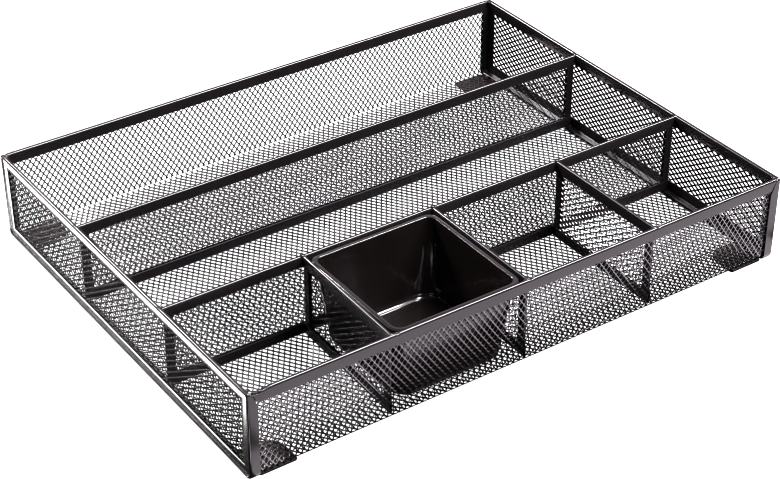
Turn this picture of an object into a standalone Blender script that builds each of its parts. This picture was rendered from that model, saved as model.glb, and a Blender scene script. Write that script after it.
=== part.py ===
"""Drawer organizer insert: a steel-mesh box with welded dividers and a lift-out tray.

Metres, +Z up. X runs along the long side (right is +), Y from front (-) to back (+).
The origin is the middle of the footprint, on the surface that the feet stand on.
Expanded metal is modelled as plain thin sheet.
"""
import math

import bmesh
import bpy
from mathutils import Vector

# ---- driving dimensions ----
WIDTH = 0.387             # over the two end frames
DEPTH = 0.301             # over the front and back rails
HEIGHT = 0.060            # feet to rim
STRIP = 0.0008            # steel strip of the frames and rails
MESH = 0.0006             # expanded metal
GAP = 0.0003              # clearance between touching pieces
BAND = 0.0078             # visible width of a rim or frame band
LEG = 0.0068              # width of a frame's leg round the corner, from the end face
FOOT_PROUD = 0.0005       # how far the feet stand below the frames
FOLD_RADIUS = 0.0009      # fold between a frame's band and its leg
FRAME_BOTTOM_RADIUS = 0.0045
FRAME_TOP_RADIUS = 0.0015  # the same for every layer, so that each keeps a round inside
ARC_STEPS = 4             # straight steps in a quarter circle

DIVIDER_STRIP = 0.0006
DIVIDER_BAND = 0.0075
DIVIDER_POST = 0.0060     # width of a divider's end posts
DIVIDER_DROP = 0.0007     # divider tops sit this far below the rim
LONG_DIVIDER_Y = {"rear": 0.0495, "front": -0.0535}
CROSS_DIVIDER_X = (-0.097, -0.003, 0.093)

FOOT_SIZE = 0.025
FOOT_INNER_RADIUS = 0.012
FOOT_CORNER_RADIUS = 0.002

TRAY_WALL = 0.0015
TRAY_RIM_Z = 0.0575
TRAY_CLEARANCE = 0.0008   # rim to the compartment's walls
TRAY_FLANGE = 0.0032
TRAY_DRAFT = math.radians(4.0)
TRAY_FLOOR_FILLET = 0.0065
TRAY_RIM_RADIUS = 0.0075
TRAY_MOUTH_RADIUS = 0.0055
TRAY_FOOT_RADIUS = 0.0120
TRAY_MOUTH_ROUND = 0.0008

# ---- derived positions ----
WALL = 2 * STRIP + MESH + 2 * GAP            # outer strip, mesh, inner strip
MESH_INSET = STRIP + GAP                     # outer face of a wall to its mesh
INNER_INSET = MESH_INSET + MESH + GAP        # outer face of a wall to its inner strip
DIVIDER_WALL = 2 * DIVIDER_STRIP + MESH + 2 * GAP
INNER_FLOOR = FOOT_PROUD + WALL
DIVIDER_BOTTOM = INNER_FLOOR + GAP
DIVIDER_TOP = HEIGHT - DIVIDER_DROP
END_X = WIDTH / 2
WALL_Y = DEPTH / 2

STEEL = ("black_powder_coat", (0.045, 0.042, 0.044, 1.0), 0.42, 0.0)
MESH_STEEL = ("black_mesh_coat", (0.030, 0.028, 0.029, 1.0), 0.45, 0.0)
PAD_RUBBER = ("dark_rubber", (0.030, 0.022, 0.018, 1.0), 0.80, 0.0)
TRAY_PLASTIC = ("gloss_black_plastic", (0.006, 0.005, 0.006, 1.0), 0.12, 0.0)


# ---- scene helpers ----
def clear_scene():
    for old in list(bpy.data.objects):
        bpy.data.objects.remove(old, do_unlink=True)


def make_collection(name):
    collection = bpy.data.collections.new(name)
    bpy.context.scene.collection.children.link(collection)
    return collection


def get_material(spec):
    name, colour, roughness, metallic = spec
    material = bpy.data.materials.get(name)
    if material is None:
        material = bpy.data.materials.new(name)
        material.use_nodes = True
        shader = material.node_tree.nodes["Principled BSDF"]
        shader.inputs["Base Color"].default_value = colour
        shader.inputs["Roughness"].default_value = roughness
        shader.inputs["Metallic"].default_value = metallic
    return material


def add_object(name, bm, spec):
    mesh = bpy.data.meshes.new(name)
    bm.to_mesh(mesh)
    bm.free()
    obj = bpy.data.objects.new(name, mesh)
    mesh.materials.append(get_material(spec))
    PARTS.objects.link(obj)
    return obj


def add_bevel(obj, width, segments, angle_degrees):
    bevel = obj.modifiers.new("round", "BEVEL")
    bevel.width = width
    bevel.segments = segments
    bevel.limit_method = "ANGLE"
    bevel.angle_limit = math.radians(angle_degrees)


def add_thickness(obj, thickness, offset=-1.0):
    """Give an open surface its thickness; offset -1 keeps the surface as the outer face."""
    solid = obj.modifiers.new("thickness", "SOLIDIFY")
    solid.thickness = thickness
    solid.offset = offset
    solid.use_even_offset = True


def add_sheet(name, bm):
    """An expanded-metal sheet: the surface with its thickness shared between both sides."""
    add_thickness(add_object(name, bm, MESH_STEEL), MESH, offset=0.0)


def face_outward(bm, probe):
    """Make the faces agree, with the first one facing along the probe vector."""
    bmesh.ops.recalc_face_normals(bm, faces=bm.faces)
    bm.faces.ensure_lookup_table()
    if bm.faces[0].normal.dot(probe) < 0:
        bmesh.ops.reverse_faces(bm, faces=bm.faces)


# ---- outlines ----
def arc(centre, radius, start_degrees, end_degrees, steps=ARC_STEPS):
    points = []
    for i in range(steps + 1):
        angle = math.radians(start_degrees + (end_degrees - start_degrees) * i / steps)
        points.append((centre[0] + radius * math.cos(angle), centre[1] + radius * math.sin(angle)))
    return points


def end_outline(inset):
    """The end frame's outline as (y, z, nearest band corner), moved inward by inset."""
    half = WALL_Y - inset
    low = FOOT_PROUD + inset
    high = HEIGHT - min(inset, MESH_INSET)
    bottom_radius = FRAME_BOTTOM_RADIUS - inset
    upper = arc((half - FRAME_TOP_RADIUS, high - FRAME_TOP_RADIUS), FRAME_TOP_RADIUS, 90, 0)
    upper.append((half, HEIGHT - BAND))
    lower = arc((half - bottom_radius, low + bottom_radius), bottom_radius, 0, -90)
    back = [(y, z, "upper_back") for y, z in upper] + [(y, z, "lower_back") for y, z in lower]
    front = [(-y, z, corner.replace("back", "front")) for y, z, corner in reversed(back)]
    return back + front


def leg_width(z):
    """How far an end frame reaches along the wall: narrow at the rim, mitred to full width."""
    above_mitre = max(0.0, z - (HEIGHT - BAND))
    return LEG - (LEG - WALL) * above_mitre / BAND


def rounded_rectangle(half_x, half_y, radius):
    points = arc((half_x - radius, half_y - radius), radius, 0, 90)
    points += arc((radius - half_x, half_y - radius), radius, 90, 180)
    points += arc((radius - half_x, radius - half_y), radius, 180, 270)
    points += arc((half_x - radius, radius - half_y), radius, 270, 360)
    return points


# ---- sheet-metal pieces ----
def make_end_loop(name, side, inset, recess, leg_on_top):
    """An L-section loop: a flat band in the end's plane and a leg that follows the outline.

    The band's outer face is recess inside the end; the outline is inset from the walls.
    """
    bm = bmesh.new()
    face_x = END_X - recess
    outline = end_outline(inset)
    rim_z = max(z for _, z, _ in outline)
    band_corners = {}
    for part, corner_z in (("upper", HEIGHT - BAND), ("lower", FOOT_PROUD + inset + BAND)):
        for end, sign in (("back", 1), ("front", -1)):
            corner_y = sign * (WALL_Y - inset - BAND)
            band_corners[part + "_" + end] = bm.verts.new((side * face_x, corner_y, corner_z))
    edge, leg, inner = [], [], []
    for y, z, corner in outline:
        edge.append(bm.verts.new((side * face_x, y, z)))
        inner.append(band_corners[corner])
        if z < rim_z or leg_on_top:
            leg.append(bm.verts.new((side * (END_X - leg_width(z)), y, z)))
        else:
            leg.append(edge[-1])
    following = list(range(1, len(outline))) + [0]
    for i, j in enumerate(following):
        loop = [edge[i], edge[j], inner[j], inner[i]]
        bm.faces.new(loop if inner[i] is not inner[j] else loop[:3])
    for i, j in enumerate(following):
        loop = [edge[i], edge[j], leg[j], leg[i]]
        loop = [vert for k, vert in enumerate(loop) if vert not in loop[:k]]
        if len(loop) > 2:
            bm.faces.new(loop)
    face_outward(bm, Vector((side, 0, 0)))
    obj = add_object(name, bm, STEEL)
    add_bevel(obj, FOLD_RADIUS, 2, 60)
    add_thickness(obj, STRIP)


def make_end_mesh(name, side):
    bm = bmesh.new()
    plane_x = side * (END_X - MESH_INSET - MESH / 2)
    bm.faces.new([bm.verts.new((plane_x, y, z)) for y, z, _ in end_outline(MESH_INSET)])
    add_sheet(name, bm)


def make_body_mesh():
    """One sheet folded up at the front and the back."""
    inset = MESH_INSET + MESH / 2
    half = WALL_Y - inset
    low = FOOT_PROUD + inset
    bend = FRAME_BOTTOM_RADIUS - inset
    back = arc((half - bend, low + bend), bend, -90, 0)
    back.append((half, HEIGHT - WALL / 2))
    profile = [(-y, z) for y, z in reversed(back)] + back
    end = END_X - MESH_INSET - MESH - GAP
    bm = bmesh.new()
    rows = [[bm.verts.new((x, y, z)) for y, z in profile] for x in (-end, end)]
    for i in range(len(profile) - 1):
        bm.faces.new((rows[0][i], rows[0][i + 1], rows[1][i + 1], rows[1][i]))
    face_outward(bm, Vector((0, -1, 0)))
    add_sheet("body_mesh", bm)


def make_channel(name, strip, width, depth, place, span):
    """A strip folded over an edge into a U.

    place(u, v, s) maps across, down from the fold, and along to the world, and
    span(v) gives the two ends at that depth, so that an end can be mitred.
    """
    radius = width / 2
    profile = [(-radius, depth)] + arc((0, radius), radius, 180, 360, 2 * ARC_STEPS)
    profile.append((radius, depth))
    bm = bmesh.new()
    rows = [[bm.verts.new(place(u, v, span(v)[end])) for u, v in profile] for end in (0, 1)]
    for i in range(len(profile) - 1):
        bm.faces.new((rows[0][i], rows[0][i + 1], rows[1][i + 1], rows[1][i]))
    face_outward(bm, Vector(place(-1, 0, 0)) - Vector(place(0, 0, 0)))
    add_thickness(add_object(name, bm, STEEL), strip)


def make_wall_rail(name, side):
    """The rail over the front or back wall, mitred to the end frames' posts."""
    centre_y = side * (WALL_Y - WALL / 2)

    def place(u, v, s):
        return (s, centre_y + u, HEIGHT - v)

    def span(v):
        end = END_X - leg_width(HEIGHT - v) - GAP
        return (-end, end)

    make_channel(name, STRIP, WALL, BAND, place, span)


def make_divider(name, along, start, end):
    """A mesh panel in a frame of four folded strips; along(s, u, z) maps it to the world."""
    rail_ends = (start, end)
    post_ends = (DIVIDER_BOTTOM + DIVIDER_BAND + GAP, DIVIDER_TOP - DIVIDER_BAND - GAP)
    section = (DIVIDER_STRIP, DIVIDER_WALL)
    make_channel(name + "_top_rail", *section, DIVIDER_BAND,
                 lambda u, v, s: along(s, u, DIVIDER_TOP - v), lambda v: rail_ends)
    make_channel(name + "_bottom_rail", *section, DIVIDER_BAND,
                 lambda u, v, s: along(s, u, DIVIDER_BOTTOM + v), lambda v: rail_ends)
    make_channel(name + "_start_post", *section, DIVIDER_POST,
                 lambda u, v, s: along(start + v, u, s), lambda v: post_ends)
    make_channel(name + "_end_post", *section, DIVIDER_POST,
                 lambda u, v, s: along(end - v, u, s), lambda v: post_ends)
    edge = DIVIDER_WALL / 2
    bm = bmesh.new()
    corners = ((start + edge, DIVIDER_BOTTOM + edge), (end - edge, DIVIDER_BOTTOM + edge),
               (end - edge, DIVIDER_TOP - edge), (start + edge, DIVIDER_TOP - edge))
    bm.faces.new([bm.verts.new(along(s, 0, z)) for s, z in corners])
    add_sheet(name + "_mesh", bm)


def make_foot(name, side_x, side_y):
    """A thin pad under the floor mesh, with a large round on its inner corner."""
    outer_x = END_X - LEG - GAP
    outer_y = WALL_Y - INNER_INSET
    thickness = FOOT_PROUD + STRIP
    middle = (outer_x - FOOT_SIZE / 2, outer_y - FOOT_SIZE / 2)
    half = FOOT_SIZE / 2
    outline = []
    for sign_x, sign_y, start in ((1, 1, 0), (-1, 1, 90), (-1, -1, 180), (1, -1, 270)):
        inner_corner = sign_x < 0 and sign_y < 0
        radius = FOOT_INNER_RADIUS if inner_corner else FOOT_CORNER_RADIUS
        centre = (sign_x * (half - radius), sign_y * (half - radius))
        outline += arc(centre, radius, start, start + 90)
    bm = bmesh.new()
    bm.faces.new([bm.verts.new((side_x * (middle[0] + x), side_y * (middle[1] + y), thickness))
                  for x, y in outline])
    face_outward(bm, Vector((0, 0, 1)))
    add_thickness(add_object(name, bm, PAD_RUBBER), thickness)


# ---- the lift-out tray ----
def tray_sections(half_x, half_y, floor_z):
    """Rounded rectangles down the tray's inner surface: rim, mouth, wall, fillet."""
    mouth_x, mouth_y = half_x - TRAY_FLANGE, half_y - TRAY_FLANGE
    sections = [(-TRAY_FLANGE, TRAY_RIM_Z, TRAY_RIM_RADIUS)]
    steps = ARC_STEPS // 2
    for i in range(steps + 1):
        angle = math.radians(90 * i / steps)
        out = TRAY_MOUTH_ROUND * (1 - math.sin(angle))
        drop = TRAY_MOUTH_ROUND * (1 - math.cos(angle))
        sections.append((-out, TRAY_RIM_Z - drop, TRAY_MOUTH_RADIUS + out))
    fillet_z = floor_z + TRAY_FLOOR_FILLET
    draft = math.tan(TRAY_DRAFT) * (TRAY_RIM_Z - TRAY_MOUTH_ROUND - fillet_z)
    for i in range(ARC_STEPS + 1):
        angle = math.radians(90 * i / ARC_STEPS)
        inward = TRAY_FLOOR_FILLET * (1 - math.cos(angle))
        drop = TRAY_FLOOR_FILLET * math.sin(angle)
        sections.append((draft + inward, fillet_z - drop, TRAY_FOOT_RADIUS - inward))
    return [(mouth_x - inset, mouth_y - inset, z, radius) for inset, z, radius in sections]


def make_tray():
    left = CROSS_DIVIDER_X[0] + DIVIDER_WALL / 2
    right = CROSS_DIVIDER_X[1] - DIVIDER_WALL / 2
    front = -WALL_Y + WALL
    back = LONG_DIVIDER_Y["front"] - DIVIDER_WALL / 2
    half_x = (right - left) / 2 - TRAY_CLEARANCE
    half_y = (back - front) / 2 - TRAY_CLEARANCE
    floor_z = FOOT_PROUD + MESH_INSET + MESH + GAP + TRAY_WALL
    bm = bmesh.new()
    rings = []
    for size_x, size_y, z, radius in tray_sections(half_x, half_y, floor_z):
        rings.append([bm.verts.new((x, y, z)) for x, y in rounded_rectangle(size_x, size_y, radius)])
    for upper, lower in zip(rings, rings[1:]):
        for i in range(len(upper)):
            j = (i + 1) % len(upper)
            bm.faces.new((upper[i], upper[j], lower[j], lower[i]))
    bm.faces.new(rings[-1])
    face_outward(bm, Vector((0, 0, 1)))
    obj = add_object("tray", bm, TRAY_PLASTIC)
    obj.location = ((left + right) / 2, (front + back) / 2, 0)
    add_thickness(obj, TRAY_WALL)
    obj.data.shade_smooth()
    obj.data.set_sharp_from_angle(angle=math.radians(40))


# ---- assembly ----
def build_ends():
    for name, side in (("left", -1), ("right", 1)):
        make_end_mesh(name + "_end_mesh", side)
        make_end_loop(name + "_end_frame", side, 0.0, 0.0, leg_on_top=True)
        make_end_loop(name + "_inner_frame", side, INNER_INSET, WALL - STRIP, leg_on_top=False)


def build_dividers():
    reach = END_X - WALL - GAP
    for name, y in LONG_DIVIDER_Y.items():
        make_divider(name + "_divider", lambda s, u, z, y=y: (s, y + u, z), -reach, reach)
    start = -WALL_Y + WALL + GAP
    end = LONG_DIVIDER_Y["front"] - DIVIDER_WALL / 2 - GAP
    for number, x in enumerate(CROSS_DIVIDER_X, start=1):
        make_divider("cross_divider_%d" % number, lambda s, u, z, x=x: (x + u, s, z), start, end)


def build_feet():
    for end_name, side_y in (("front", -1), ("back", 1)):
        for side_name, side_x in (("left", -1), ("right", 1)):
            make_foot("foot_%s_%s" % (end_name, side_name), side_x, side_y)


clear_scene()
PARTS = make_collection("drawer_organizer_insert")
make_body_mesh()
build_ends()
make_wall_rail("front_top_rail", -1)
make_wall_rail("back_top_rail", 1)
build_dividers()
build_feet()
make_tray()
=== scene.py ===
"""Looks of the drawer organizer insert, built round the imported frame.

Metres, +Z up; X along the long side, Y from front to back. Every piece takes its place
from the frame's boxes, and stands for the plain node of the same name.
"""
import math

import bmesh
import bpy
import numpy as np
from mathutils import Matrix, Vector, noise


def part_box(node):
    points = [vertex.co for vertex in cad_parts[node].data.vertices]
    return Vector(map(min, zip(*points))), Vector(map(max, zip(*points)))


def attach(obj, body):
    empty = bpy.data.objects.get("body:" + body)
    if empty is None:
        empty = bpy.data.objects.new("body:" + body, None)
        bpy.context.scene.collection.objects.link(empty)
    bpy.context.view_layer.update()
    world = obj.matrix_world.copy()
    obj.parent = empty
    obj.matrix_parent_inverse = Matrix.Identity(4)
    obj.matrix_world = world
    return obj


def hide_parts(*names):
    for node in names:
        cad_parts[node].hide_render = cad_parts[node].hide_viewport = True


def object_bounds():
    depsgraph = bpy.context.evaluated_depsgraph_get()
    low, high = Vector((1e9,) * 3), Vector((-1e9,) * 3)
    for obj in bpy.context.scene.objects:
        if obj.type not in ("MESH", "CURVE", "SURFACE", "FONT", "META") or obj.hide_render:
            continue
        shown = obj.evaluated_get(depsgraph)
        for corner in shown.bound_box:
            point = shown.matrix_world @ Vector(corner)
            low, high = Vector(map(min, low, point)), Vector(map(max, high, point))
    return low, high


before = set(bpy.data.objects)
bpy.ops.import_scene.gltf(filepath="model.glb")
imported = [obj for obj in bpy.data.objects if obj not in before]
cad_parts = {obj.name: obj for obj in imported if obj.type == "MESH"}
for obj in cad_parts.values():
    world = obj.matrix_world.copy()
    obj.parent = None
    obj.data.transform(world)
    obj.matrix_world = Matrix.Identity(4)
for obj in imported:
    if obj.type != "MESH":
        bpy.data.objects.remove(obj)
cad_low, cad_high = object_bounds()

MM = 0.001
ORGANIZER = "frame"        # the body that everything but the tray rides on
TRAY = "tray"

# ---- sheet metal ----
STRIP = 0.8 * MM
DIVIDER_STRIP = 0.6 * MM
HEM = 0.18 * MM            # rounding of a strip's cut edge
WALL = 2.8 * MM            # outer strip, mesh and inner strip
GAP = 0.3 * MM
LEG = 6.8 * MM             # reach of an end frame round its corner
BAND = 7.8 * MM
RIM_FOLD = 1.15 * MM       # outer radius of the bead round an end frame
SUNK = 0.75 * MM           # how far an end frame's band lies behind its bead
SUNK_BACK = 1.05 * MM      # how far the band's back face lies behind the bead
FOLD_STEPS = 14
SKEW_OFFSET = -0.45 * MM   # how the first cross divider sits off its marks
SKEW_SLOPE = 0.024
SKEW_MIDDLE = -101.2 * MM

# ---- expanded metal ----
PITCH_SHORT = 4.1 * MM     # knot to knot across the diamonds
PITCH_LONG = 6.0 * MM      # knot to knot along the diamonds
END_PITCH_SHORT = 4.0 * MM
KNOT_HALF_WIDTH = 0.52 * MM
KNOT_HALF_LENGTH = 0.85 * MM
STRAND_WIDTH = 0.48 * MM
STRAND_THICKNESS = 0.36 * MM
STRAND_CROWN = 0.06 * MM
FRONT_TILT = -0.14 * MM    # how far a strand's edges rise and fall from the sheet
FLOOR_TILT = -0.10 * MM
BACK_TILT = 0.18 * MM
END_TILT = 0.26 * MM
LONG_TILT = 0.28 * MM
CROSS_TILT = 0.26 * MM
END_FLARE = 0.13           # how much narrower an end sheet's openings are on the inside

# ---- stage ----
FLOOR_SIZE = (3.0, 3.0)
CARD_TINT = (1.0, 0.94, 1.0)
BACK_TINT = (0.92, 0.86, 1.0)


# ---- materials ----
def new_material(name):
    material = bpy.data.materials.new(name)
    material.use_nodes = True
    return material, material.node_tree, material.node_tree.nodes["Principled BSDF"]


def object_coordinates(tree):
    return tree.nodes.new("ShaderNodeTexCoord").outputs["Object"]


def noise_node(tree, scale, detail=3.0, roughness=0.5):
    node = tree.nodes.new("ShaderNodeTexNoise")
    node.inputs["Scale"].default_value = scale
    node.inputs["Detail"].default_value = detail
    node.inputs["Roughness"].default_value = roughness
    tree.links.new(object_coordinates(tree), node.inputs["Vector"])
    return node.outputs["Fac"]


def ramp_node(tree, source, stops):
    """A colour ramp from (position, grey or colour) stops."""
    node = tree.nodes.new("ShaderNodeValToRGB")
    for i, (position, value) in enumerate(stops):
        colour = (value, value, value) if isinstance(value, float) else value
        element = node.color_ramp.elements[i] if i < 2 else node.color_ramp.elements.new(position)
        element.position = position
        element.color = (*colour, 1.0)
    tree.links.new(source, node.inputs["Fac"])
    return node.outputs["Color"]


def bump_node(tree, height, distance, strength=1.0, after=None):
    node = tree.nodes.new("ShaderNodeBump")
    node.inputs["Strength"].default_value = strength
    node.inputs["Distance"].default_value = distance
    tree.links.new(height, node.inputs["Height"])
    if after is not None:
        tree.links.new(after, node.inputs["Normal"])
    return node.outputs["Normal"]


def powder_coat(name):
    """Black powder coat: fine orange peel, faint waviness and slightly uneven gloss."""
    material, tree, shader = new_material(name)
    patches = noise_node(tree, 60.0, 4.0)
    colour = ramp_node(tree, patches,
                       [(0.35, (0.0046, 0.0038, 0.0042)), (0.70, (0.0058, 0.0048, 0.0053))])
    tree.links.new(colour, shader.inputs["Base Color"])
    gloss = ramp_node(tree, noise_node(tree, 220.0, 5.0), [(0.30, 0.19), (0.75, 0.24)])
    tree.links.new(gloss, shader.inputs["Roughness"])
    waves = bump_node(tree, noise_node(tree, 40.0, 2.0), 0.00002)
    peel = bump_node(tree, noise_node(tree, 900.0, 3.0), 0.000001, after=waves)
    tree.links.new(peel, shader.inputs["Normal"])
    shader.inputs["IOR"].default_value = 1.48
    shader.inputs["Specular IOR Level"].default_value = 0.30
    shader.inputs["Specular Tint"].default_value = (1.0, 0.93, 0.99, 1.0)
    return material


def mesh_coat_painted_shade(name):
    """The same powder coat on the thin strands, with its base colour darkened as painted shade."""
    material, tree, shader = new_material(name)
    # Base colour darker than the powder coat's: painted shade on the strands.
    colour = ramp_node(tree, noise_node(tree, 400.0, 3.0),
                       [(0.35, (0.0018, 0.0015, 0.0016)), (0.70, (0.0030, 0.0025, 0.0027))])
    tree.links.new(colour, shader.inputs["Base Color"])
    shader.inputs["Roughness"].default_value = 0.18
    shader.inputs["IOR"].default_value = 1.45
    shader.inputs["Specular IOR Level"].default_value = 0.95
    shader.inputs["Specular Tint"].default_value = (1.0, 0.94, 0.98, 1.0)
    return material


def pad_rubber(name):
    material, tree, shader = new_material(name)
    colour = ramp_node(tree, noise_node(tree, 700.0, 5.0, 0.6),
                       [(0.36, (0.0035, 0.0020, 0.0016)), (0.64, (0.017, 0.0095, 0.0075))])
    tree.links.new(colour, shader.inputs["Base Color"])
    dull = ramp_node(tree, noise_node(tree, 350.0, 3.0), [(0.3, 0.55), (0.8, 0.75)])
    tree.links.new(dull, shader.inputs["Roughness"])
    grain = bump_node(tree, noise_node(tree, 2200.0, 3.0), 0.00005)
    tree.links.new(grain, shader.inputs["Normal"])
    shader.inputs["Specular IOR Level"].default_value = 0.15
    return material


def tray_plastic(name):
    """High-gloss moulded plastic: nearly black, with faint sink waves and wipe marks."""
    material, tree, shader = new_material(name)
    colour = ramp_node(tree, noise_node(tree, 45.0, 2.0),
                       [(0.3, (0.0032, 0.0023, 0.0023)), (0.8, (0.0044, 0.0032, 0.0031))])
    tree.links.new(colour, shader.inputs["Base Color"])
    wipes = ramp_node(tree, noise_node(tree, 130.0, 6.0, 0.65), [(0.35, 0.13), (0.75, 0.18)])
    tree.links.new(wipes, shader.inputs["Roughness"])
    sink = bump_node(tree, noise_node(tree, 38.0, 1.0), 0.00004)
    skin = bump_node(tree, noise_node(tree, 1500.0, 2.0), 0.0000015, after=sink)
    tree.links.new(skin, shader.inputs["Normal"])
    shader.inputs["IOR"].default_value = 1.5
    shader.inputs["Specular IOR Level"].default_value = 0.55
    shader.inputs["Specular Tint"].default_value = (1.0, 0.95, 1.0, 1.0)
    return material


# ---- pieces ----
def finish_piece(obj, material, nodes=(), body=ORGANIZER):
    obj.data.materials.append(material)
    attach(obj, body)
    if nodes:
        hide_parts(*nodes)
    return obj


def object_from_faces(name, points, faces, sharp_degrees=38.0):
    mesh = bpy.data.meshes.new(name)
    mesh.from_pydata(points, [], faces)
    bm = bmesh.new()
    bm.from_mesh(mesh)
    bmesh.ops.recalc_face_normals(bm, faces=bm.faces)
    bm.to_mesh(mesh)
    bm.free()
    mesh.shade_smooth()
    mesh.set_sharp_from_angle(angle=math.radians(sharp_degrees))
    obj = bpy.data.objects.new(name, mesh)
    bpy.context.scene.collection.objects.link(obj)
    return obj


def sweep(name, rings, closed_path=False, sharp_degrees=38.0):
    """A closed surface through rings of points; an open path gets a flat cap at each end."""
    size = len(rings[0])
    count = len(rings)
    faces = []
    for i in range(count if closed_path else count - 1):
        here, there = i * size, (i + 1) % count * size
        for k in range(size):
            m = (k + 1) % size
            faces.append((here + k, here + m, there + m, there + k))
    if not closed_path:
        faces.append(tuple(range(size - 1, -1, -1)))
        faces.append(tuple(range((count - 1) * size, count * size)))
    points = [point for ring in rings for point in ring]
    return object_from_faces(name, points, faces, sharp_degrees)


def arc_points(centre, radius, start, end, steps):
    points = []
    for i in range(steps + 1):
        angle = math.radians(start + (end - start) * i / steps)
        points.append((centre[0] + radius * math.cos(angle), centre[1] + radius * math.sin(angle)))
    return points


# ---- folded strips ----
def channel_section(width, depth, strip):
    """The outline of a strip folded into a U: (across, down from the fold)."""
    radius = width / 2
    outer = [(-radius, depth - HEM)] + arc_points((0, radius), radius, 180, 360, FOLD_STEPS)
    outer.append((radius, depth - HEM))
    inner = arc_points((0, radius), radius - strip, 360, 180, FOLD_STEPS // 2)
    right_hem = [(radius - HEM, depth), (radius - strip + HEM, depth), (radius - strip, depth - HEM)]
    left_hem = [(-u, v) for u, v in reversed(right_hem)]
    return outer + right_hem + inner + left_hem


def stations(start, end, marks, spacing=6.0 * MM, fine=0.45 * MM, reach=4.5 * MM):
    """Places along a strip: even steps, and fine ones round each mark."""
    count = max(2, int((end - start) / spacing))
    places = list(np.linspace(start, end, count + 1))
    for mark in marks:
        steps = int(reach / fine)
        places += [mark + fine * i for i in range(-steps, steps + 1)]
    places = sorted(p for p in places if start <= p <= end)
    kept = [places[0]]
    for p in places[1:]:
        if p - kept[-1] > 0.5 * fine:
            kept.append(p)
    kept[-1] = end
    return kept


def make_strip(node, place, span, width, depth, strip, dents=()):
    """A folded strip; dents are (place along, depth, half width) of pits left by welding."""
    section = channel_section(width, depth, strip)
    start, end = span(0.0)
    marks = [mark for mark, _, _ in dents]
    rings = []
    for s in stations(start, end, marks):
        share = (s - start) / (end - start)
        ring = []
        for u, v in section:
            low, high = span(v)
            drop = 0.0
            for mark, deep, half in dents:
                fade = max(0.0, 1.0 - v / (2.2 * MM))
                drop += deep * fade * math.exp(-((s - mark) / half) ** 2)
            ring.append(place(u, v + drop, low + (high - low) * share))
        rings.append(ring)
    return finish_piece(sweep(node + "_strip", rings), COAT, [node])


def make_wall_rail(node, dents=()):
    """The rail over the front or back wall, mitred to the end frames' posts."""
    low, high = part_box(node)
    centre_y = (low.y + high.y) / 2
    mitre = LEG - WALL

    def place(u, v, s):
        return (s, centre_y + u, high.z - v)

    def span(v):
        cut = mitre * v / BAND
        return (low.x + cut, high.x - cut)

    make_strip(node, place, span, high.y - low.y, high.z - low.z, STRIP, dents)


def skewed(name, points):
    """The first cross divider was welded in slightly askew: its front end leans left."""
    points = np.asarray(points, dtype=float)
    if name == "cross_divider_1":
        points[..., 0] += SKEW_OFFSET + SKEW_SLOPE * (points[..., 1] - SKEW_MIDDLE)
    return points


def make_divider_strips(name, axis, dents=()):
    """Four folded strips round a divider; axis is 0 or 1, the way it runs."""
    across = 1 - axis

    def maker(node, vertical, sign, marks=()):
        low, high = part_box(node)
        middle = (low[across] + high[across]) / 2

        def place(u, v, s):
            point = [0.0, 0.0, 0.0]
            point[across] = middle + u
            if vertical:
                point[axis] = low[axis] + v if sign < 0 else high[axis] - v
                point[2] = s
            else:
                point[axis] = s
                point[2] = high.z - v if sign > 0 else low.z + v
            return tuple(skewed(name, point))

        run = (low.z, high.z) if vertical else (low[axis], high[axis])
        depth = high[axis] - low[axis] if vertical else high.z - low.z
        make_strip(node, place, lambda v: run, high[across] - low[across], depth,
                   DIVIDER_STRIP, marks)

    maker(name + "_top_rail", False, 1, dents)
    maker(name + "_bottom_rail", False, -1)
    maker(name + "_start_post", True, -1)
    maker(name + "_end_post", True, 1)


# ---- end frames ----
def end_outline(half_y, low, high, low_radius, high_radius, steps=8):
    """Points and outward normals round an end frame, in its plane, counter-clockwise."""
    corners = [((half_y - high_radius, high - high_radius), high_radius, 0),
               ((high_radius - half_y, high - high_radius), high_radius, 90),
               ((low_radius - half_y, low + low_radius), low_radius, 180),
               ((half_y - low_radius, low + low_radius), low_radius, 270)]
    outline = []
    for centre, radius, start in corners:
        for i in range(steps + 1):
            angle = math.radians(start + 90 * i / steps)
            normal = (math.cos(angle), math.sin(angle))
            outline.append(((centre[0] + radius * normal[0], centre[1] + radius * normal[1]), normal))
    return outline


def fill_outline(outline, spacing=8.0 * MM, marks=()):
    """Adds points along the straight stretches of an outline, with fine ones round marks (y)."""
    filled = []
    for i, (point, normal) in enumerate(outline):
        filled.append((point, normal))
        after, _ = outline[(i + 1) % len(outline)]
        length = math.dist(point, after)
        if length < 2 * spacing:
            continue
        shares = list(np.linspace(0, 1, int(length / spacing) + 1)[1:-1])
        if abs(after[0] - point[0]) > spacing:
            for mark in marks:
                for k in range(-8, 9):
                    shares.append((mark + 0.5 * MM * k - point[0]) / (after[0] - point[0]))
        for share in sorted(s for s in shares if 0.01 < s < 0.99):
            place = tuple(a + (b - a) * share for a, b in zip(point, after))
            filled.append((place, normal))
    return filled


def leg_width(z):
    above_mitre = max(0.0, z - (cad_high.z - BAND))
    return LEG - (LEG - WALL) * above_mitre / BAND


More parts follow.
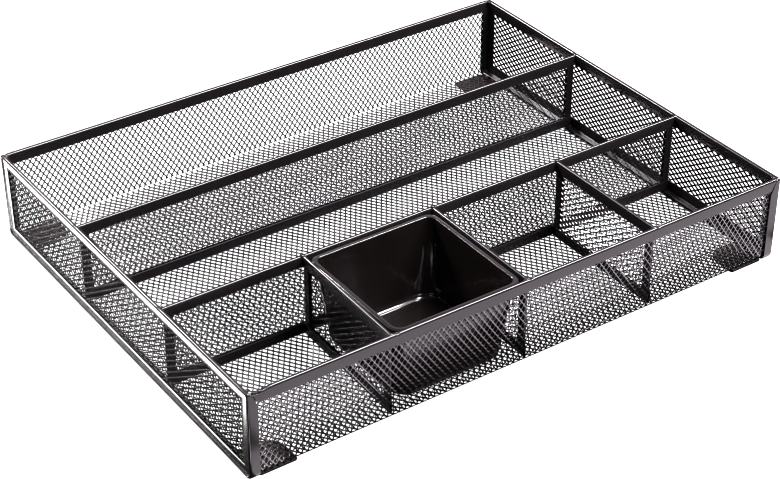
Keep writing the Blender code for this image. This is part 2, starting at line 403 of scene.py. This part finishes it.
def frame_leg(fold, leg, curl):
    """The leg of an outer frame's section: flat at curl 0, rolled over the wall at curl 1."""
    radius = WALL / 2
    outside, inside = [], []
    for k in range(1, 7):
        a = math.radians(82) * k / 6
        flat = (0.0, fold + (leg - HEM - fold) * k / 6)
        rolled = (radius - radius * math.cos(a), radius + radius * math.sin(a))
        outside.append(tuple(f + (g - f) * curl for f, g in zip(flat, rolled)))
        core = radius - STRIP
        flat = (STRIP, flat[1])
        rolled = (radius - core * math.cos(a), radius + core * math.sin(a))
        inside.append(tuple(f + (g - f) * curl for f, g in zip(flat, rolled)))
    (e, d), (inner_e, inner_d) = outside[-1], inside[-1]
    flat_end = [(HEM, leg), (STRIP - HEM, leg)]
    rolled_end = [(e + 0.12 * MM, d - 0.08 * MM), (e + 0.16 * MM, d - 0.35 * MM)]
    end = [tuple(f + (g - f) * curl for f, g in zip(a, b)) for a, b in zip(flat_end, rolled_end)]
    return outside + end + inside[::-1]


def make_outer_frame(node, side, marks):
    """The strip round the outside of an end: a flat band, a rolled bead and a leg."""
    low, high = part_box(node)
    plane = side * max(abs(low.x), abs(high.x))
    outline = fill_outline(end_outline(high.y, low.z, high.z, 4.5 * MM, 1.6 * MM), marks=marks)
    corners = {(s_y, s_z): (s_y * (high.y - BAND), high.z - BAND if s_z > 0 else low.z + BAND)
               for s_y in (-1, 1) for s_z in (-1, 1)}
    face = [(BAND, SUNK + 0.5 * HEM), (BAND - HEM, SUNK), (5.2 * MM, SUNK), (3.6 * MM, SUNK)]
    rings = []
    for (y, z), normal in outline:
        on_top = normal[1] > 0.99
        key = (1 if y > 0 else -1, 1 if z > (low.z + high.z) / 2 else -1)
        if abs(normal[0]) > 0.999:
            inner = (corners[key][0], z)
            if abs(z - corners[key][1]) < abs(corners[key][1] - (high.z if key[1] > 0 else low.z)):
                inner = corners[key] if (z - corners[key][1]) * key[1] > 0 else inner
        elif abs(normal[1]) > 0.999:
            inner = (y, corners[key][1])
            if abs(y) > abs(corners[key][0]):
                inner = corners[key]
        else:
            inner = corners[key]
        reach = math.dist((y, z), inner)
        direction = ((inner[0] - y) / reach, (inner[1] - z) / reach)
        leg = leg_width(z)
        inner_fold = RIM_FOLD - STRIP
        meet = -math.acos(1.0 - SUNK / RIM_FOLD)             # where the bead leaves the band
        turn = [(RIM_FOLD - RIM_FOLD * math.sin(a), RIM_FOLD - RIM_FOLD * math.cos(a))
                for a in np.linspace(meet, math.pi / 2, 16)]
        back = [(STRIP + inner_fold - inner_fold * math.cos(a),
                 STRIP + inner_fold - inner_fold * math.sin(a)) for a in np.linspace(0, math.pi / 2, 5)]
        pit = 0.0
        if on_top:
            pit = sum(0.35 * MM * math.exp(-((y - mark) / (1.1 * MM)) ** 2) for mark in marks)
        section = face + turn + frame_leg(RIM_FOLD, leg, max(0.0, normal[1]) ** 2) + back
        section += [(BAND - HEM, SUNK_BACK), (BAND, SUNK_BACK - 0.5 * HEM)]
        ring = []
        for e, d in section:
            keep = 3.4 * MM
            along = e if e < keep else keep + (e - keep) * (reach - keep) / (BAND - keep)
            along += pit * max(0.0, 1.0 - e / (2.4 * MM))
            ring.append((plane - side * d, y + direction[0] * along, z + direction[1] * along))
        rings.append(ring)
    return finish_piece(sweep(node + "_strip", rings, closed_path=True), COAT, [node])


def make_inner_frame(node, side):
    """The strip inside an end: a band against the mesh and a leg along floor and walls."""
    low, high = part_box(node)
    face_x = min(abs(low.x), abs(high.x)) + (LEG - WALL)      # the band's inner face
    back_x = face_x + STRIP
    tip_x = min(abs(low.x), abs(high.x))
    top = cad_high.z - 1.7 * MM                               # tucked under the outer frame
    outline = fill_outline(end_outline(high.y, low.z, top, 2.5 * MM, 1.2 * MM))
    corners = {(s_y, s_z): (s_y * (high.y - BAND), cad_high.z - BAND if s_z > 0 else low.z + BAND)
               for s_y in (-1, 1) for s_z in (-1, 1)}
    bend = 0.5 * MM
    rings = []
    for (y, z), normal in outline:
        key = (1 if y > 0 else -1, 1 if z > (low.z + high.z) / 2 else -1)
        inner = corners[key]
        if abs(normal[0]) > 0.999 and low.z + BAND < z < cad_high.z - BAND:
            inner = (corners[key][0], z)
        if abs(normal[1]) > 0.999 and abs(y) < high.y - BAND:
            inner = (y, corners[key][1])
        reach = math.dist((y, z), inner)
        direction = ((inner[0] - y) / reach, (inner[1] - z) / reach)
        has_leg = normal[1] < 0.5
        leg = tip_x if has_leg else face_x - 0.15 * MM
        turn = [(STRIP + bend - bend * math.sin(a), face_x - bend + bend * math.cos(a))
                for a in np.linspace(0, math.pi / 2, 5)]
        if not has_leg:
            turn = [(STRIP + bend - bend * math.sin(a), face_x - 0.0001 * math.sin(a))
                    for a in np.linspace(0, math.pi / 2, 5)]
        section = [(BAND, face_x + 0.5 * HEM), (BAND - HEM, face_x)] + turn
        tip = leg + HEM * has_leg
        section += [(STRIP, tip), (STRIP - HEM, leg), (HEM, leg), (0.0, tip)]
        section += [(0.0, back_x - HEM), (HEM, back_x)]
        section += [(BAND - HEM, back_x), (BAND, back_x - 0.5 * HEM)]
        ring = []
        for e, x in section:
            keep = 1.6 * MM
            along = e if e < keep else keep + (e - keep) * (reach - keep) / (BAND - keep)
            ring.append((side * x, y + direction[0] * along, z + direction[1] * along))
        rings.append(ring)
    return finish_piece(sweep(node + "_strip", rings, closed_path=True), COAT, [node])


# ---- expanded metal ----
def lattice_mesh(name, columns, rows, pitch_short, pitch_long, place, tilt, flare=0.0):
    """A sheet of expanded metal as one closed surface.

    Openings sit at half-pitch indices that add up to an odd number. Each has a rhombus
    of eight points, shared with its neighbours along the strands' middles, and an
    eight-sided hole inside it. place(a, b, n) maps across, along and off the sheet.
    """
    p, q = np.meshgrid(np.arange(*columns), np.arange(*rows), indexing="ij")
    odd = (p + q) % 2 == 1
    cells = np.stack([p[odd], q[odd]], axis=1)
    rim = np.array([(2, 0), (1, 1), (0, 2), (-1, 1), (-2, 0), (-1, -1), (0, -2), (1, -1)])
    half_short, half_long = pitch_short / 2, pitch_long / 2
    length = math.hypot(half_short, half_long)
    inset = np.array([half_long, half_short]) / length * STRAND_WIDTH / 2
    middle = np.array([half_short / 2, half_long / 2]) - inset
    tip = half_long - KNOT_HALF_LENGTH
    side = half_short - KNOT_HALF_WIDTH
    hole = np.array([(side, 0), middle, (0, tip), (-middle[0], middle[1]), (-side, 0),
                     -middle, (0, -tip), (middle[0], -middle[1])])
    keys = (cells[:, None, :] * 2 + rim[None, :, :]).reshape(-1, 2)
    shared, index = np.unique(keys, axis=0, return_inverse=True)
    index = index.reshape(-1, 8)
    shared_ab = shared * np.array([half_short, half_long]) / 2
    centres = cells * np.array([half_short, half_long])
    holes = {1: hole * (1.0 - flare), -1: hole}
    hole_rise = np.tile(hole[:, 0] / side * tilt, len(cells))
    half = STRAND_THICKNESS / 2
    layers = []
    for sign in (1, -1):
        crown = np.full(len(shared_ab), sign * (half + STRAND_CROWN))
        layers.append(np.column_stack([shared_ab, crown]))
        hole_ab = (centres[:, None, :] + holes[sign][None, :, :]).reshape(-1, 2)
        layers.append(np.column_stack([hole_ab, hole_rise + sign * half]))
    flat = np.concatenate(layers)
    total_shared, total_hole = len(shared_ab), len(hole_ab)
    under = total_shared + total_hole
    inner = total_shared + np.arange(total_hole).reshape(-1, 8)
    turn = (np.arange(8) + 1) % 8
    outer_a, outer_b = index, index[:, turn]
    inner_a, inner_b = inner, inner[:, turn]
    top = np.stack([outer_a, outer_b, inner_b, inner_a], axis=-1).reshape(-1, 4)
    bottom = top[:, ::-1] + under
    walls = np.stack([inner_a, inner_b, inner_b + under, inner_a + under], axis=-1).reshape(-1, 4)
    edges = np.stack([outer_a, outer_b], axis=-1).reshape(-1, 2)
    code = np.sort(edges, axis=1) @ np.array([total_shared, 1])
    _, first, uses = np.unique(code, return_index=True, return_counts=True)
    border = edges[first[uses == 1]]
    near, far = border[:, 0], border[:, 1]
    border_walls = np.stack([far, near, near + under, far + under], axis=-1)
    quads = np.concatenate([top, bottom, walls, border_walls]).astype(np.int32)
    points = place(flat[:, 0], flat[:, 1], flat[:, 2])
    mesh = bpy.data.meshes.new(name)
    mesh.vertices.add(len(points))
    mesh.vertices.foreach_set("co", points.astype(np.float32).ravel())
    mesh.loops.add(quads.size)
    mesh.loops.foreach_set("vertex_index", quads.ravel())
    mesh.polygons.add(len(quads))
    mesh.polygons.foreach_set("loop_start", np.arange(0, quads.size, 4, dtype=np.int32))
    mesh.update(calc_edges=True)
    mesh.shade_smooth()
    mesh.set_sharp_from_angle(angle=math.radians(50))
    obj = bpy.data.objects.new(name, mesh)
    bpy.context.scene.collection.objects.link(obj)
    return obj


def index_range(low, high, half_pitch):
    """Half-pitch indices of the openings whose rhombus lies between low and high."""
    return (math.ceil(low / half_pitch) + 1, math.floor(high / half_pitch))


def make_body_lattice():
    """One sheet folded up at the front and the back, in five pieces that meet on strands."""
    low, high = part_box("body_mesh")
    thickness = 0.6 * MM
    half = high.y - thickness / 2
    floor_z = low.z + thickness / 2
    bend = 3.1 * MM
    flat = half - bend
    quarter = bend * math.pi / 2
    rise = high.z - floor_z - bend
    reach = flat + quarter + rise

    def place(a, b, n):
        side = np.sign(b)
        run = np.abs(b)
        angle = np.clip((run - flat) / bend, 0.0, math.pi / 2)
        climb = np.maximum(run - flat - quarter, 0.0)
        y = np.minimum(run, flat) + (bend - n) * np.sin(angle)
        z = floor_z + bend - (bend - n) * np.cos(angle) + climb
        return np.column_stack([a, side * y, z])

    half_long = PITCH_LONG / 2
    columns = index_range(low.x, high.x, PITCH_SHORT / 2)
    first, last = index_range(-reach, reach, half_long)
    fold_row = round((flat + quarter / 2) / half_long)
    rear_row = round(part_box("rear_divider_mesh")[0].y / half_long)
    front_row = round(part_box("front_divider_mesh")[0].y / half_long)
    cuts = (("front_wall", first, -fold_row, FRONT_TILT),
            ("front_floor", -fold_row, front_row, FLOOR_TILT),
            ("middle_floor", front_row, rear_row, FLOOR_TILT),
            ("rear_floor", rear_row, fold_row, FLOOR_TILT),
            ("back_wall", fold_row, last, BACK_TILT))
    for part, start, end, tilt in cuts:
        obj = lattice_mesh("body_mesh_" + part, columns, (start, end), PITCH_SHORT, PITCH_LONG,
                           place, tilt)
        finish_piece(obj, MESH_COAT_PAINTED_SHADE, ["body_mesh"])


def make_end_lattice(node):
    low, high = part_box(node)
    plane = (low.x + high.x) / 2
    side = 1 if plane > 0 else -1
    middle_z = (low.z + high.z) / 2

    def place(a, b, n):
        return np.column_stack([plane - side * n, b, middle_z + a])

    half_z = (high.z - low.z) / 2
    columns = index_range(-half_z, half_z, END_PITCH_SHORT / 2)
    rows = index_range(low.y, high.y, PITCH_LONG / 2)
    obj = lattice_mesh(node + "_lattice", columns, rows, END_PITCH_SHORT, PITCH_LONG, place, END_TILT,
                       END_FLARE)
    finish_piece(obj, MESH_COAT_PAINTED_SHADE, [node])


def make_divider_lattice(name, axis):
    node = name + "_mesh"
    low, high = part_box(node)
    across = 1 - axis
    plane = (low[across] + high[across]) / 2
    middle = (low[axis] + high[axis]) / 2
    middle_z = (low.z + high.z) / 2
    upright = axis == 1        # the diamonds' short way is vertical in the cross dividers only
    tilt = CROSS_TILT if axis == 1 else -LONG_TILT

    def place(a, b, n):
        columns = [None, None, middle_z + (a if upright else b)]
        columns[axis] = middle + (b if upright else a)
        columns[across] = plane + n
        return skewed(name, np.column_stack(columns))

    half_run = (high[axis] - low[axis]) / 2
    half_z = (high.z - low.z) / 2
    half_a, half_b = (half_z, half_run) if upright else (half_run, half_z)
    pitch = END_PITCH_SHORT if upright else PITCH_SHORT
    columns = index_range(-half_a, half_a, pitch / 2)
    rows = index_range(-half_b, half_b, PITCH_LONG / 2)
    obj = lattice_mesh(node + "_lattice", columns, rows, pitch, PITCH_LONG, place, tilt)
    finish_piece(obj, MESH_COAT_PAINTED_SHADE, [node])


# ---- weld beads ----
def make_beads(name, places, seed):
    """Small flattened blobs of coated weld metal; places are (point, size) pairs."""
    bm = bmesh.new()
    for number, (point, size) in enumerate(places):
        found = bmesh.ops.create_icosphere(bm, subdivisions=3, radius=1.0)["verts"]
        for vert in found:
            wobble = noise.noise(vert.co * 1.7 + Vector((seed, number * 3.1, 0.0)))
            grown = vert.co * (1.0 + 0.22 * wobble)
            vert.co = Vector(point) + Vector((grown.x * size[0], grown.y * size[1], grown.z * size[2]))
    mesh = bpy.data.meshes.new(name)
    bm.to_mesh(mesh)
    bm.free()
    mesh.shade_smooth()
    obj = bpy.data.objects.new(name, mesh)
    bpy.context.scene.collection.objects.link(obj)
    return finish_piece(obj, COAT)


# ---- feet ----
def make_foot(node):
    """A thin rubber pad with rounded edges and a large round on its inner corner."""
    low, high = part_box(node)
    centre = (low + high) / 2
    half_x, half_y = (high.x - low.x) / 2, (high.y - low.y) / 2
    inward = (-1 if centre.x > 0 else 1, -1 if centre.y > 0 else 1)
    rounding = 0.35 * MM

    def outline(inset):
        points = []
        for sx, sy, start in ((1, 1, 0), (-1, 1, 90), (-1, -1, 180), (1, -1, 270)):
            radius = 12.0 * MM if (sx, sy) == inward else 2.0 * MM
            middle = (centre.x + sx * (half_x - radius), centre.y + sy * (half_y - radius))
            points += arc_points(middle, radius - inset, start, start + 90, 10)
        return points

    heights = [(rounding, low.z), (rounding * 0.3, low.z + rounding * 0.3), (0.0, low.z + rounding),
               (0.0, high.z - rounding), (rounding * 0.3, high.z - rounding * 0.3), (rounding, high.z)]
    rings = [[(x, y, z) for x, y in outline(inset)] for inset, z in heights]
    finish_piece(sweep(node + "_pad", rings), RUBBER, [node])


# ---- tray ----
def rounded_rectangle(centre, half_x, half_y, radius, steps=10):
    points = []
    for sx, sy, start in ((1, 1, 0), (-1, 1, 90), (-1, -1, 180), (1, -1, 270)):
        middle = (centre[0] + sx * (half_x - radius), centre[1] + sy * (half_y - radius))
        points += arc_points(middle, radius, start, start + 90, steps)
    return points


def make_tray():
    """The moulded tray: a rounded rim flange, drafted walls and a filleted floor."""
    low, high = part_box("tray")
    centre = ((low.x + high.x) / 2, (low.y + high.y) / 2)
    half_x, half_y = (high.x - low.x) / 2, (high.y - low.y) / 2
    wall = 1.5 * MM
    flange = 3.2 * MM
    rim_radius, mouth_radius, foot_radius = 7.5 * MM, 5.5 * MM, 12.0 * MM
    lip = 0.55 * MM
    fillet = 4.6 * MM
    edge = 0.45 * MM
    draft = math.tan(math.radians(4.0))
    wall_top = high.z - lip
    wall_low = low.z + wall + fillet
    base = flange + draft * (wall_top - wall_low)

    def wall_rows(outward, z_top):
        """(inset from the rim, height, corner radius) down a wall, moved outward."""
        rows = []
        for share in np.linspace(0, 1, 7):
            z = z_top + (wall_low - z_top) * share
            radius = mouth_radius + (foot_radius - mouth_radius) * share + outward
            rows.append((flange + draft * (wall_top - z) - outward, z, radius))
        round_radius = fillet + outward
        for a in np.linspace(0, math.pi / 2, 11)[1:]:
            inward = round_radius * (1 - math.cos(a))
            rows.append((base - outward + inward, wall_low - round_radius * math.sin(a),
                         max(foot_radius + outward - inward, 4.0 * MM)))
        return rows

    rim = []
    for a in np.linspace(0, math.pi / 2, 6)[:-1]:
        out = lip * (1 - math.sin(a))
        rim.append((flange - out, high.z - lip * (1 - math.cos(a)), mouth_radius + out))
    rows = list(reversed(wall_rows(0.0, wall_top)))
    rows += list(reversed(rim))
    rows += [(edge, high.z, rim_radius - edge),
             (edge * 0.3, high.z - edge * 0.3, rim_radius - edge * 0.3),
             (0.0, high.z - edge, rim_radius),
             (0.0, high.z - wall + edge, rim_radius),
             (edge, high.z - wall, rim_radius - edge)]
    rows += wall_rows(wall, high.z - wall - 0.1 * MM)
    rings = []
    for inset, z, radius in rows:
        outline = rounded_rectangle(centre, half_x - inset, half_y - inset, radius)
        rings.append([(x, y, z) for x, y in outline])
    finish_piece(sweep("tray_moulding", rings, sharp_degrees=50), PLASTIC, ["tray"], TRAY)


# ---- stage ----
def make_floor():
    bpy.ops.mesh.primitive_plane_add(size=1.0)
    floor = bpy.context.active_object
    floor.name = "studio_floor"
    floor.scale = (*FLOOR_SIZE, 1.0)
    material, tree, shader = new_material("pale_floor")
    shader.inputs["Base Color"].default_value = (0.06, 0.06, 0.06, 1.0)
    shader.inputs["Roughness"].default_value = 0.9
    shader.inputs["Specular IOR Level"].default_value = 0.0
    shader.inputs["Emission Color"].default_value = (1.0, 1.0, 1.0, 1.0)
    shader.inputs["Emission Strength"].default_value = 1.02
    floor.data.materials.append(material)
    floor.visible_glossy = False         # the gloss mirrors the lights and cards instead
    floor.visible_diffuse = False
    floor.visible_shadow = False


def add_area(name, location, target, size, radiance, colour=(1.0, 1.0, 1.0)):
    """A soft rectangular light; its power follows from its size and radiance."""
    light = bpy.data.lights.new(name, "AREA")
    light.shape = "RECTANGLE"
    light.size, light.size_y = size
    light.energy = radiance * size[0] * size[1] * math.pi
    light.color = colour
    obj = bpy.data.objects.new(name, light)
    obj.location = location
    aim = Vector(target) - Vector(location)
    obj.rotation_euler = aim.to_track_quat("-Z", "Y").to_euler()
    obj.visible_camera = False
    bpy.context.scene.collection.objects.link(obj)
    return obj


def make_world():
    world = bpy.data.worlds.new("studio")
    bpy.context.scene.world = world
    world.use_nodes = True
    tree = world.node_tree
    background = tree.nodes["Background"]
    paths = tree.nodes.new("ShaderNodeLightPath")
    mix = tree.nodes.new("ShaderNodeMix")
    mix.data_type = "RGBA"
    mix.inputs["A"].default_value = (0.045, 0.045, 0.045, 1.0)
    mix.inputs["B"].default_value = (1.0, 1.0, 1.0, 1.0)
    tree.links.new(paths.outputs["Is Camera Ray"], mix.inputs["Factor"])
    tree.links.new(mix.outputs["Result"], background.inputs["Color"])


def make_camera():
    data = bpy.data.cameras.new("camera")
    data.sensor_width = 36.0
    data.lens = 92.26
    camera = bpy.data.objects.new("camera", data)
    camera.location = (-0.606, -0.883, 0.711)
    camera.rotation_euler = (math.radians(56.61), 0.0, math.radians(-34.57))
    bpy.context.scene.collection.objects.link(camera)
    bpy.context.scene.camera = camera


make_camera()
COAT = powder_coat("powder_coat")
# The strands' coat is a darker copy of the powder coat: painted shade.
MESH_COAT_PAINTED_SHADE = mesh_coat_painted_shade("mesh_powder_coat")
RUBBER = pad_rubber("pad_rubber")
PLASTIC = tray_plastic("tray_gloss")

long_dividers = ("rear_divider", "front_divider")
cross_dividers = ("cross_divider_1", "cross_divider_2", "cross_divider_3")


def middle_of(node, axis):
    low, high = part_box(node)
    return (low[axis] + high[axis]) / 2


cross_x = [middle_of(name + "_mesh", 0) for name in cross_dividers]
long_y = [middle_of(name + "_mesh", 1) for name in long_dividers]

make_body_lattice()
for end in ("left", "right"):
    side = -1 if end == "left" else 1
    make_end_lattice(end + "_end_mesh")
    make_outer_frame(end + "_end_frame", side, long_y)
    make_inner_frame(end + "_inner_frame", side)
rail_low, rail_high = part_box("front_top_rail")
corner_pits = [(rail_low.x + 2.8 * MM, 1.7 * MM, 3.0 * MM),
               (rail_low.x + 8.0 * MM, 0.6 * MM, 3.0 * MM)]
junction_pits = [(x + 1.5 * MM, 0.45 * MM, 1.2 * MM) for x in cross_x]
make_wall_rail("front_top_rail", corner_pits + junction_pits)
make_wall_rail("back_top_rail")
for name in long_dividers:
    marks = [(x, 0.5 * MM, 1.1 * MM) for x in cross_x] if name == "front_divider" else []
    make_divider_strips(name, 0, marks)
    make_divider_lattice(name, 0)
for name in cross_dividers:
    make_divider_strips(name, 1)
    make_divider_lattice(name, 1)
for y_name in ("front", "back"):
    for x_name in ("left", "right"):
        make_foot("foot_%s_%s" % (y_name, x_name))
make_tray()

# A corner's beads, in mm: in from the side, in from the front or back, down, and three radii.
CORNER_BEADS = ((4.9, 1.3, 0.60, 1.8, 0.9, 0.50),
                (8.2, 1.0, 0.55, 1.5, 0.9, 0.50),
                (11.0, 1.5, 0.30, 1.1, 0.7, 0.42),
                (3.2, 3.8, 0.20, 1.1, 1.5, 0.50))
beads = []
for x_sign in (-1, 1):
    for y_sign in (-1, 1):
        for off_x, off_y, off_z, size_x, size_y, size_z in CORNER_BEADS:
            place = (x_sign * (cad_high.x - off_x * MM), y_sign * (cad_high.y - off_y * MM),
                     cad_high.z - off_z * MM)
            beads.append((place, (size_x * MM, size_y * MM, size_z * MM)))
make_beads("corner_welds", beads, 4.0)
beads = []
for x in cross_x:
    lean = SKEW_OFFSET + SKEW_SLOPE * (-149.0 * MM - SKEW_MIDDLE) if x == cross_x[0] else 0.0
    beads.append(((x + lean - 0.5 * MM, rail_high.y - 0.4 * MM, cad_high.z - 0.45 * MM),
                  (2.1 * MM, 1.1 * MM, 0.75 * MM)))
    beads.append(((x + lean + 2.7 * MM, rail_high.y - 1.0 * MM, cad_high.z - 0.30 * MM),
                  (1.2 * MM, 0.8 * MM, 0.55 * MM)))
    beads.append(((x, long_y[1], cad_high.z - 0.65 * MM), (1.9 * MM, 1.4 * MM, 0.65 * MM)))
make_beads("junction_welds", beads, 9.0)

make_floor()
make_world()
add_area("overhead_softbox", (0.65, -0.40, 1.17), (0.65, -0.40, 0.0), (1.10, 0.30), 150.0)
add_area("back_softbox", (0.72, 1.02, 0.72), (0.0, 0.0, 0.04), (1.10, 0.80), 0.8, BACK_TINT)
add_area("left_softbox", (-0.34, 1.05, 0.97), (0.0, 0.0, 0.04), (0.27, 0.32), 260.0)
# Low cards that face up, and a panel under the floor's level, light the front and the left end.
add_area("front_card", (0.30, -0.286, 0.0015), (0.30, -0.286, 1.0), (0.94, 0.228), 3.4, CARD_TINT)
add_area("left_post_card", (-0.178, -0.161, 0.0015), (-0.178, -0.161, 1.0), (0.022, 0.022), 3.7, CARD_TINT)
add_area("right_post_card", (0.197, -0.161, 0.0015), (0.197, -0.161, 1.0), (0.022, 0.022), 3.7, CARD_TINT)
add_area("corner_card", (-0.197, -0.215, 0.0015), (-0.197, -0.215, 1.0), (0.010, 0.10), 14.0)
add_area("left_card", (-0.245, 0.03, 0.0015), (-0.245, 0.03, 1.0), (0.040, 0.40), 1.8)
add_area("left_panel", (-0.308, 0.19, -0.085), (-0.308, 0.19, 1.0), (0.060, 0.40), 32.0)

scene = bpy.context.scene
scene.view_settings.view_transform = "Standard"
scene.cycles.filter_width = 1.0
